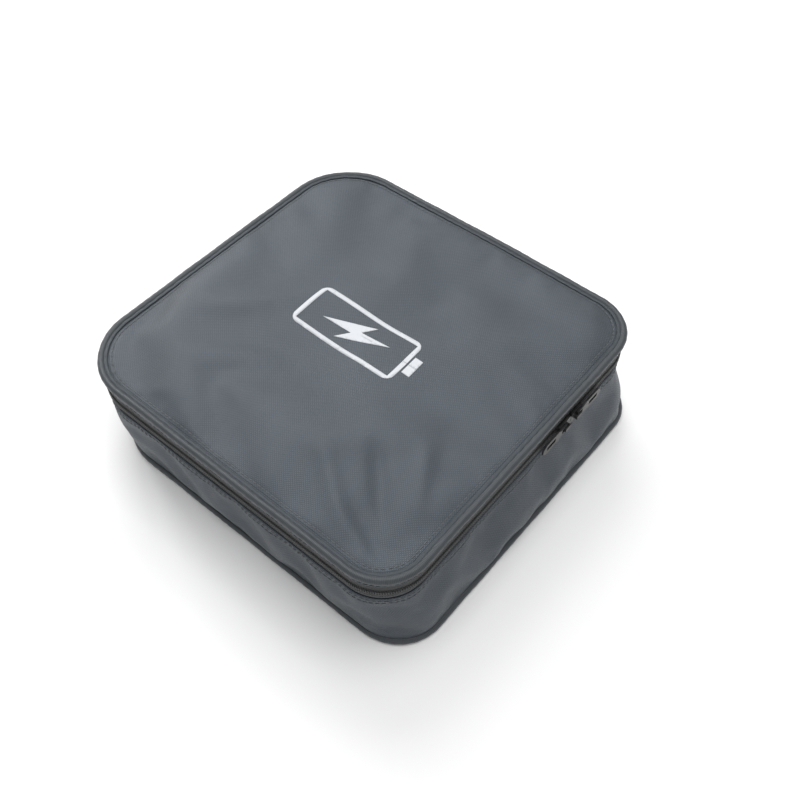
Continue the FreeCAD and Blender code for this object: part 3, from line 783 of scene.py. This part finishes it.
def pipe(name, level, body, node, leaning=False):
    """A piping cord covered with tape, gathered a little on the slant."""
    turn = np.linspace(0, TAU, 22, endpoint=False)
    gather = waves(round(AROUND / (7 * MM)), 1.2 * turn + 1.5 * waves(13))
    slow = waves(29, 1.7) + waves(17, turn)
    radius = PIPING_RADIUS * (1 + 0.028 * gather + 0.03 * slow)
    cord = sweep(name, PIPE, radius * np.cos(turn), level + radius * np.sin(turn), leaning)
    placed(cord, body, "binding", node)


def wall_stitches(name, level, out, body, leaning=False):
    """A row of stitches round the wall at one level."""
    xy = OUTLINE + NORMALS * np.broadcast_to(out, len(LENGTHS))[:, None]
    row = stitches(name, lifted(xy, level), lifted(NORMALS, 0.0), body)
    if leaning:
        for vertex in row.data.vertices:
            vertex.co.x, vertex.co.y = leaned(*vertex.co)


def build_skirt():
    """The lid's short side wall, its folded hem and the row of stitches above it."""
    top = SKIRT_TOP + 0.6 * MM
    line = profile_line(0.4, (-0.75, HEM_LID, 3.4), (-0.75, HEM_LID, 0.9), (-0.3, HEM_LID, -0.1),
                        (0.25, HEM_LID, 0.9), (0.35, HEM_LID, 2.6), (0.0, top, 0.0))
    out, z = band_profile(line, 0.7 * MM)
    fade = smooth((z - HEM_LID) / (top - HEM_LID))
    soft = 0.18 * MM * waves(41, 3 * fade) * np.sin(math.pi * fade)
    skirt = sweep("lid_skirt", SHELL, out + soft, z + RIM * fade)
    placed(skirt, "lid", "shell_fabric", "lid_gusset")
    wall_stitches("skirt_stitches", HEM_LID + 1.7 * MM, 0.72 * MM, "lid")


def padded_level(level, swell, reach, seed, longest):
    """The height of a padded surface that swells away from its edge, or hangs where swell < 0."""
    def height(x, y, d):
        uneven = ripples(x, y, seed, 40 * MM, longest * MM) * smooth((d - 8 * MM) / (25 * MM))
        return (level + swell * MM * smooth((d - 5 * MM) / (reach * MM))
                + math.copysign(0.5 * MM, swell) * uneven)
    return height


def inner_binding(name, level, body, leaning=False):
    """The tape that binds the raw seam inside."""
    turn = np.linspace(0, TAU, 12, endpoint=False)
    wobble = 0.12 * MM * waves(53)
    tape = sweep(name, BINDING, -6.3 * MM + 1.3 * MM * np.cos(turn) + wobble,
                 level + 1.5 * MM * np.sin(turn) + wobble, leaning)
    placed(tape, body, "binding")


def build_lid_inside():
    """The lid's wall lining, rolled over the foam, and its ceiling."""
    line = profile_line(0.6, (-5.0, CEILING, 0.2), (-4.9, LID_FOAM_LOW, 0.8),
                        (-3.7, LID_FOAM_LOW, -0.2), (-2.7, LID_FOAM_LOW, 0.6),
                        (-2.7, LID_FOAM_LOW, 3.4))
    out, z = band_profile(line, LINING_THICKNESS)
    rise = np.clip((z - LID_FOAM_LOW) / (CEILING - LID_FOAM_LOW), 0, 1)
    puff = 0.4 * MM * np.sin(math.pi * rise) * waves(23, 0.7)
    wall = sweep("lid_wall_cloth", LINING, out + puff, z)
    placed(wall, "lid", "lining", "lid_wall_lining", "lid_padding")
    ceiling = solidified(panel("lid_ceiling_cloth", LINING, INNER_INSETS,
                               padded_level(CEILING + 0.3 * MM, -0.9, 20, 31, 90), flip=True),
                         LINING_THICKNESS)
    placed(ceiling, "lid", "lining", "top_lining")
    inner_binding("lid_inner_binding", CEILING - 1.4 * MM, "lid")


# ---- base

def build_base_wall():
    """The tall side wall with its folded hem and its rows of stitches."""
    up = np.concatenate([np.linspace(FLOOR_TOP - 0.6 * MM, HEM_BASE - 4 * MM, 34),
                         np.linspace(HEM_BASE - 3.4 * MM, HEM_BASE - 0.5 * MM, 7)])
    down = up[-2::-1]
    outer = wall_out(up) + 0.35 * MM * (up > HEM_BASE - 3.6 * MM)
    cap = np.broadcast_to(np.array([-0.1, -0.7, -1.1]) * MM, (len(LENGTHS), 3))
    wall = sweep("base_wall", SHELL,
                 np.concatenate([outer, cap, wall_out(down) - WALL_THICKNESS], 1),
                 np.concatenate([up, HEM_BASE - np.array([0, 0, 0.4]) * MM, down]), leaning=True)
    placed(wall, "base", "shell_fabric", "base_gusset")
    for name, below, proud in (("base_hem_stitches", 2.0, 0.5),
                               ("base_hem_stitches_lower", 5.2, 0.12)):
        level = HEM_BASE - below * MM
        wall_stitches(name, level, wall_out([level])[:, 0] + proud * MM, "base", leaning=True)


def build_base_inside():
    """The wall lining, rolled over the foam at its top, and the floor."""
    line = profile_line(1.2, (-5.0, FLOOR_TOP, -0.2), (-5.0, FOAM_TOP, -1.2),
                        (-3.7, FOAM_TOP, 0.3), (-2.7, FOAM_TOP, -1.0), (-2.7, FOAM_TOP, -5.5))
    out, z = band_profile(line, LINING_THICKNESS)
    turn = TAU * LENGTHS[:, None] / AROUND
    x, y = np.cos(turn) * AROUND / TAU, np.sin(turn) * AROUND / TAU
    rise = np.clip((z - FLOOR_TOP) / (FOAM_TOP - FLOOR_TOP - 4 * MM), 0, 1)
    swell = np.maximum(0.7 * wall_out(z), 0) * (out < -4 * MM)
    soft = 0.45 * MM * ripples(x + z, y, 41, 30 * MM, 80 * MM) * np.sin(math.pi * rise)
    wall = sweep("base_wall_cloth", LINING, out + swell + soft, z, leaning=True)
    placed(wall, "base", "lining", "base_wall_lining", "base_padding")
    floor = solidified(panel("floor_cloth", LINING, INNER_INSETS,
                             padded_level(FLOOR_TOP, 0.8, 18, 42, 100), lean_at=FLOOR_TOP),
                       LINING_THICKNESS)
    placed(floor, "base", "lining", "floor_lining", "bottom_padding", "bottom_board")
    inner_binding("base_inner_binding", FLOOR_TOP + 1.6 * MM, "base", leaning=True)


def build_bottom():
    """The bottom panel, flat on the floor and drawn up to the piping at its edge."""
    def height(x, y, d):
        return FOOT_LIFT * (1 - smooth((d - 2 * MM) / (7 * MM)))

    insets = np.array([1.8, 2.4, 3, 4, 5, 6, 7, 8, 9.5, 12, 16]) * MM
    bottom = solidified(panel("bottom_cloth", SHELL, insets, height, flip=True, lean_at=0.0),
                        WALL_THICKNESS)
    placed(bottom, "base", "shell_fabric", "bottom_panel")
    inset = 6.5 * MM
    row = np.column_stack(leaned(*(OUTLINE - NORMALS * inset).T, 0.0))[::-1]
    stitches("bottom_stitches", lifted(row, height(0, 0, inset) - 0.05 * MM), (0.0, 0.0, -1.0),
             "base")


# ---- zip

TAPE_THICKNESS = 0.55 * MM
TOOTH_PITCH = 1.4 * MM
COIL_OUT = 0.55 * MM
TAPE_GAP = SPINE_LINING_HIGH.x + 1 * MM      # half of the gap that the zip leaves at the hinge
COIL_GAP = SPINE_HIGH.x + 0.4 * MM


def zip_stations(half_gap):
    """The stations from one side of the hinge round the front to its other side."""
    middle = LENGTHS[BACK_STATION]
    return np.concatenate([np.where(LENGTHS[:-1] >= middle + half_gap)[0],
                           np.where(LENGTHS <= middle - half_gap)[0]])


def zip_tape(name, line, body, node):
    """A tape that runs along the zip."""
    index = zip_stations(TAPE_GAP)
    out, z = band_profile(line, TAPE_THICKNESS)
    profile = np.column_stack([out, z])
    s = line_lengths(OUTLINE[index])
    xy = OUTLINE[index][:, None] + NORMALS[index][:, None] * out[:, None]
    heights = np.broadcast_to(z, xy.shape[:2])[:, :, None]
    tape = loft(name, ZIP_TAPE, np.concatenate([xy, heights], 2), s, profile)
    placed(tape, body, "zip_tape", node)


def tooth(reach):
    """One turn of the coil: a bar across the zip with a thicker head that interlocks."""
    rings = ((-2.95, 0.25, -0.165), (-2.8, 0.36, -0.132), (-2.2, 0.40, 0), (-0.6, 0.40, 0),
             (-0.1, 0.50, 0), (0.15, 0.47, 0), (0.38, 0.22, 0))      # in mm
    points, faces = bar(rings, 8, ((0, 1, 2, 3), (0, 3, 4, 7), (4, 5, 6, 7)), flat=0.82)
    return points[:, [1, 0, 2]] * (MM, reach * MM, MM), [face[::-reach] for face in faces]


def zip_path(out):
    """Points along the zip from one end to the other, their normals and their lengths."""
    index = zip_stations(COIL_GAP)
    points = OUTLINE[index] + NORMALS[index] * out
    return points, NORMALS[index], line_lengths(points)


def coil(name, reach, phase, body, node):
    """A row of teeth; reach is 1 where its heads point up and -1 where they point down."""
    points, normals, s = zip_path(COIL_OUT)
    at = np.arange(TOOTH_PITCH * (0.5 + phase), s[-1] - TOOTH_PITCH / 2, TOOTH_PITCH)
    out = read_at(at, s, normals)
    along = np.column_stack([-out[:, 1], out[:, 0]])
    row = copies(name, NYLON, *tooth(reach), lifted(read_at(at, s, points), ZIP_LEVEL),
                 lifted(along, 0.0), lifted(0 * along, 1.0), lifted(out, 0.0))
    placed(row, body, "zip_coil", node)


def coil_seam(name, level, body):
    """The chain of thread that sews a row of coil to its tape."""
    points, normals, _ = zip_path(COIL_OUT + 0.42 * MM)
    stitches(name, lifted(points, level), lifted(normals, 0.0), body, "zip_coil",
             1.25 * MM, 0.15 * MM, 0.34 * MM)


def build_zip():
    """Both tapes, both rows of coil and the threads that hold them."""
    lower = profile_line(0.7, (-1.5, HEM_BASE, -4), (-1.45, HEM_BASE, -0.5),
                         (-0.55, HEM_BASE, 1.8), (-0.35, ZIP_LEVEL, -0.9))
    upper = profile_line(0.7, (-0.35, ZIP_LEVEL, 0.9), (-0.55, HEM_LID, -1.8),
                         (-1.3, HEM_LID, 0.5), (-1.4, HEM_LID, 3.5))
    zip_tape("zip_tape_base", lower, "base", "zipper_tape_lower")
    zip_tape("zip_tape_lid", upper, "lid", "zipper_tape_upper")
    coil("zip_teeth_base", 1, 0.0, "base", "zipper_coil_lower")
    coil("zip_teeth_lid", -1, 0.5, "lid", "zipper_coil_upper")
    coil_seam("zip_thread_base", ZIP_LEVEL - 1.9 * MM, "base")
    coil_seam("zip_thread_lid", ZIP_LEVEL + 1.9 * MM, "lid")


# ---- print

def build_emblem():
    """The plain battery and bolt, cut from the flat mark and laid on the soft lid."""
    bm = bmesh.new()
    bm.from_mesh(bpy.data.objects["emblem_print"].data)
    bmesh.ops.delete(bm, geom=[f for f in bm.faces if f.normal.z < 0.5], context="FACES")
    low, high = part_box("emblem_print")
    cell = 2 * MM
    for axis, normal in ((0, (1, 0, 0)), (1, (0, 1, 0))):
        for cut in np.arange(low[axis] + cell, high[axis], cell):
            bmesh.ops.bisect_plane(bm, geom=bm.verts[:] + bm.edges[:] + bm.faces[:], dist=1e-6,
                                   plane_co=[float(cut) * n for n in normal], plane_no=normal)
    x, y = np.array([v.co[:2] for v in bm.verts]).T
    for vertex, height in zip(bm.verts, top_height(x, y, edge_distance(x, y))):
        vertex.co.z = height + 0.22 * MM
    layer = bm.loops.layers.uv.new("cloth")
    for face in bm.faces:
        face.smooth = True
        for loop in face.loops:
            loop[layer].uv = loop.vert.co.xy
    mesh = bpy.data.meshes.new("emblem_ink")
    bm.to_mesh(mesh)
    bm.free()
    mesh.materials.append(INK)
    ink = solidified(linked("emblem_ink", mesh), 0.3 * MM)
    placed(ink, "lid", "print", "emblem_print")


# ---- hinge and handle

def hinge_cloth(name, material, line, half_width, thickness, slot, node):
    """A flat strip across the back that runs from the base up to the lid."""
    out, z = band_profile(line, thickness)
    x = np.linspace(half_width, -half_width, 72)
    verts = np.stack(np.broadcast_arrays(x[:, None], HALF_Y + out, z), 2)
    strip = loft(name, material, verts, x, np.column_stack([out, z]))
    placed(strip, None, slot, node)
    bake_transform(strip)


def back_stitches(name, x, z, out, body):
    """A row of stitches on the back; x and z are its two ends, in mm."""
    count = 40
    points = np.column_stack([np.linspace(*x, count) * MM, np.full(count, HALF_Y + out),
                              np.linspace(*z, count) * MM])
    stitches(name, points, (0.0, 1.0, 0.0), body)


def build_hinge():
    """The shell's strip across the hinge, its lining and its stitches."""
    low, high = SPINE_LOW.z, SPINE_HIGH.z
    line = profile_line(0.55, (1.5, low, 0), (1.45, HEM_BASE, 0), (1.2, HEM_BASE, 2.5),
                        (1.0, ZIP_LEVEL, 0), (1.2, HEM_LID, -2), (1.5, HEM_LID, 2), (1.2, high, 0))
    hinge_cloth("hinge_strip", SHELL, line, SPINE_HIGH.x, 0.8 * MM, "shell_fabric", "spine_strip")
    inside = (SPINE_LINING_LOW.y - HALF_Y) / MM + 0.3
    line = profile_line(0.55, (inside, SPINE_LINING_LOW.z, 0), (inside + 0.4, ZIP_LEVEL, 0),
                        (inside, SPINE_LINING_HIGH.z, 0))
    hinge_cloth("hinge_lining", BINDING, line, SPINE_LINING_HIGH.x, LINING_THICKNESS, "lining",
                "spine_lining")
    edge = SPINE_HIGH.x / MM - 2.2
    for body, z, other in (("base", low / MM + 1.6, 55.2), ("lid", high / MM - 1.6, 69)):
        back_stitches("hinge_stitches_" + body, (edge, -edge), (z, z), 2.0 * MM, body)
        for side, x in (("left", -edge), ("right", edge)):
            back_stitches("hinge_side_stitches_%s_%s" % (body, side), (x, x),
                          (min(z, other), max(z, other)), 1.95 * MM, body)


def handle_out(x):
    """How far the handle's webbing stands off the wall."""
    loop = 46 * MM
    rise = np.clip(1 - np.abs(x) / loop, 0, 1)
    return 12.5 * MM * smooth(rise * 2.2) ** 0.9 + 0.9 * MM * (1 - (x / loop) ** 2) * (rise > 0)


def back_surface(x, z):
    """How far back the wall's face lies across its middle, evened out along x."""
    span = slice(BACK_STATION + 60, BACK_STATION - 61, -1)
    near = np.interp(x, OUTLINE[span, 0], wall_out([z])[span, 0])
    return leaned(x, HALF_Y + np.interp(x, x[::30], near[::30]), z)[1]


def build_handle():
    """The webbing loop, and the crossed box of stitches that holds each of its ends."""
    half = HANDLE_HIGH.x
    height = (HANDLE_HIGH.z - HANDLE_LOW.z) / 2
    middle = (HANDLE_HIGH.z + HANDLE_LOW.z) / 2
    x = np.linspace(-half, half, 180)
    surface = back_surface(x, middle)
    y = surface + 0.95 * MM + handle_out(x)
    path = np.column_stack([x, y])
    ahead = unit(np.gradient(path, axis=0))
    across = np.linspace(-1, 1, 19)
    face = 1.5 * MM / 2 * (1 - 0.35 * np.abs(across) ** 8)
    up = np.concatenate([across, across[::-1]]) * height
    out = np.concatenate([-face, face])
    verts = np.stack(np.broadcast_arrays(x[:, None] - ahead[:, 1:] * out,
                                         y[:, None] + ahead[:, :1] * out, middle + up), 2)
    lengths = line_lengths(path)
    webbing = loft("handle_webbing_loop", WEBBING, verts, lengths, np.column_stack([up, out]),
                   np.append(up, up[0]))
    placed(webbing, "base", "webbing", "handle_webbing")
    margin = 2.5 * MM
    near, far = 50 * MM, half - margin
    low, high = middle - height + margin, middle + height - margin
    runs = [((near, far), (low, low)), ((far, far), (low, high)), ((far, near), (high, high)),
            ((near, near), (high, low)), ((near, far), (low, high)), ((near, far), (high, low))]
    for side, sign in (("left", -1), ("right", 1)):
        for number, (run_x, run_z) in enumerate(runs):
            place = sign * np.linspace(*run_x, 12)
            points = np.column_stack([place, np.interp(place, x, surface) + 1.75 * MM,
                                      np.linspace(*run_z, 12)])
            stitches("handle_stitches_%s_%d" % (side, number), points, (0.0, 1.0, 0.0), "base",
                     "webbing")


def paint_metal():
    """The sliders and their pulls keep their CAD shape and take a painted metal."""
    for name in ("zip_slider_front", "zip_slider_rear", "zip_pull_front", "zip_pull_rear"):
        for slot in bpy.data.objects[name].material_slots:
            slot.material = METAL


build_top()
build_border()
pipe("rim_piping", PIPING_TOP - PIPING_RADIUS + RIM, "lid", "top_piping")
pipe("foot_piping", FOOT_LEVEL, "base", "bottom_piping", leaning=True)
build_skirt()
build_lid_inside()
build_base_wall()
build_base_inside()
build_bottom()
build_zip()
build_emblem()
build_hinge()
build_handle()
paint_metal()


# ---- floor, light and camera

def build_stage():
    """A plain pale floor just under the bag."""
    paper = Nodes("floor_paper")
    place = paper.node("ShaderNodeTexCoord").outputs["Object"]
    tone = paper.mix(paper.noise(place, 3.0), (0.86, 0.86, 0.86, 1), (0.90, 0.90, 0.90, 1))
    reach = 6.0
    mesh = bpy.data.meshes.new("floor")
    mesh.from_pydata([(x * reach, y * reach, 0) for x, y in ((-1, -1), (1, -1), (1, 1), (-1, 1))],
                     [], [(0, 1, 2, 3)])
    mesh.materials.append(paper.finish(Base_Color=tone, Roughness=0.8))
    floor = linked("floor", mesh)
    floor.location.z = -0.1 * MM


def build_light():
    """A white room and soft square lights aimed at the bag."""
    world = bpy.data.worlds.new("studio")
    world.use_nodes = True
    background = world.node_tree.nodes["Background"]
    background.inputs["Color"].default_value = (1, 1, 1, 1)
    background.inputs["Strength"].default_value = 0.5
    bpy.context.scene.world = world
    target = Vector((0, 0, 0.05))
    for name, place, size, power in (("overhead", (0.15, 0.0, 1.5), 0.9, 12),
                                     ("gloss", (-0.85, 0.75, 1.3), 0.9, 12.5),
                                     ("low", (-1.3, 0.25, 0.55), 0.35, 6),
                                     ("side", (1.2, -0.9, 0.6), 0.4, 2)):
        data = bpy.data.lights.new(name, "AREA")
        data.shape = "SQUARE"
        data.size = size
        data.energy = power
        light = linked(name, data)
        light.location = place
        light.rotation_euler = (target - Vector(place)).to_track_quat("-Z", "Y").to_euler()


def build_camera():
    """Fitted to the rim of the lid: it stands off the front right corner and looks down."""
    data = bpy.data.cameras.new("camera")
    data.sensor_width = 36.0
    data.lens = 43.2
    camera = linked("camera", data)
    camera.location = (0.272, -0.290, 0.535)
    heading, pitch = math.radians(39.7), math.radians(52.6)
    camera.rotation_euler = (math.pi / 2 - pitch, 0, heading)
    bpy.context.scene.camera = camera


build_stage()
build_light()
build_camera()
bpy.context.scene.view_settings.view_transform = "Standard"

bpy.context.view_layer.update()
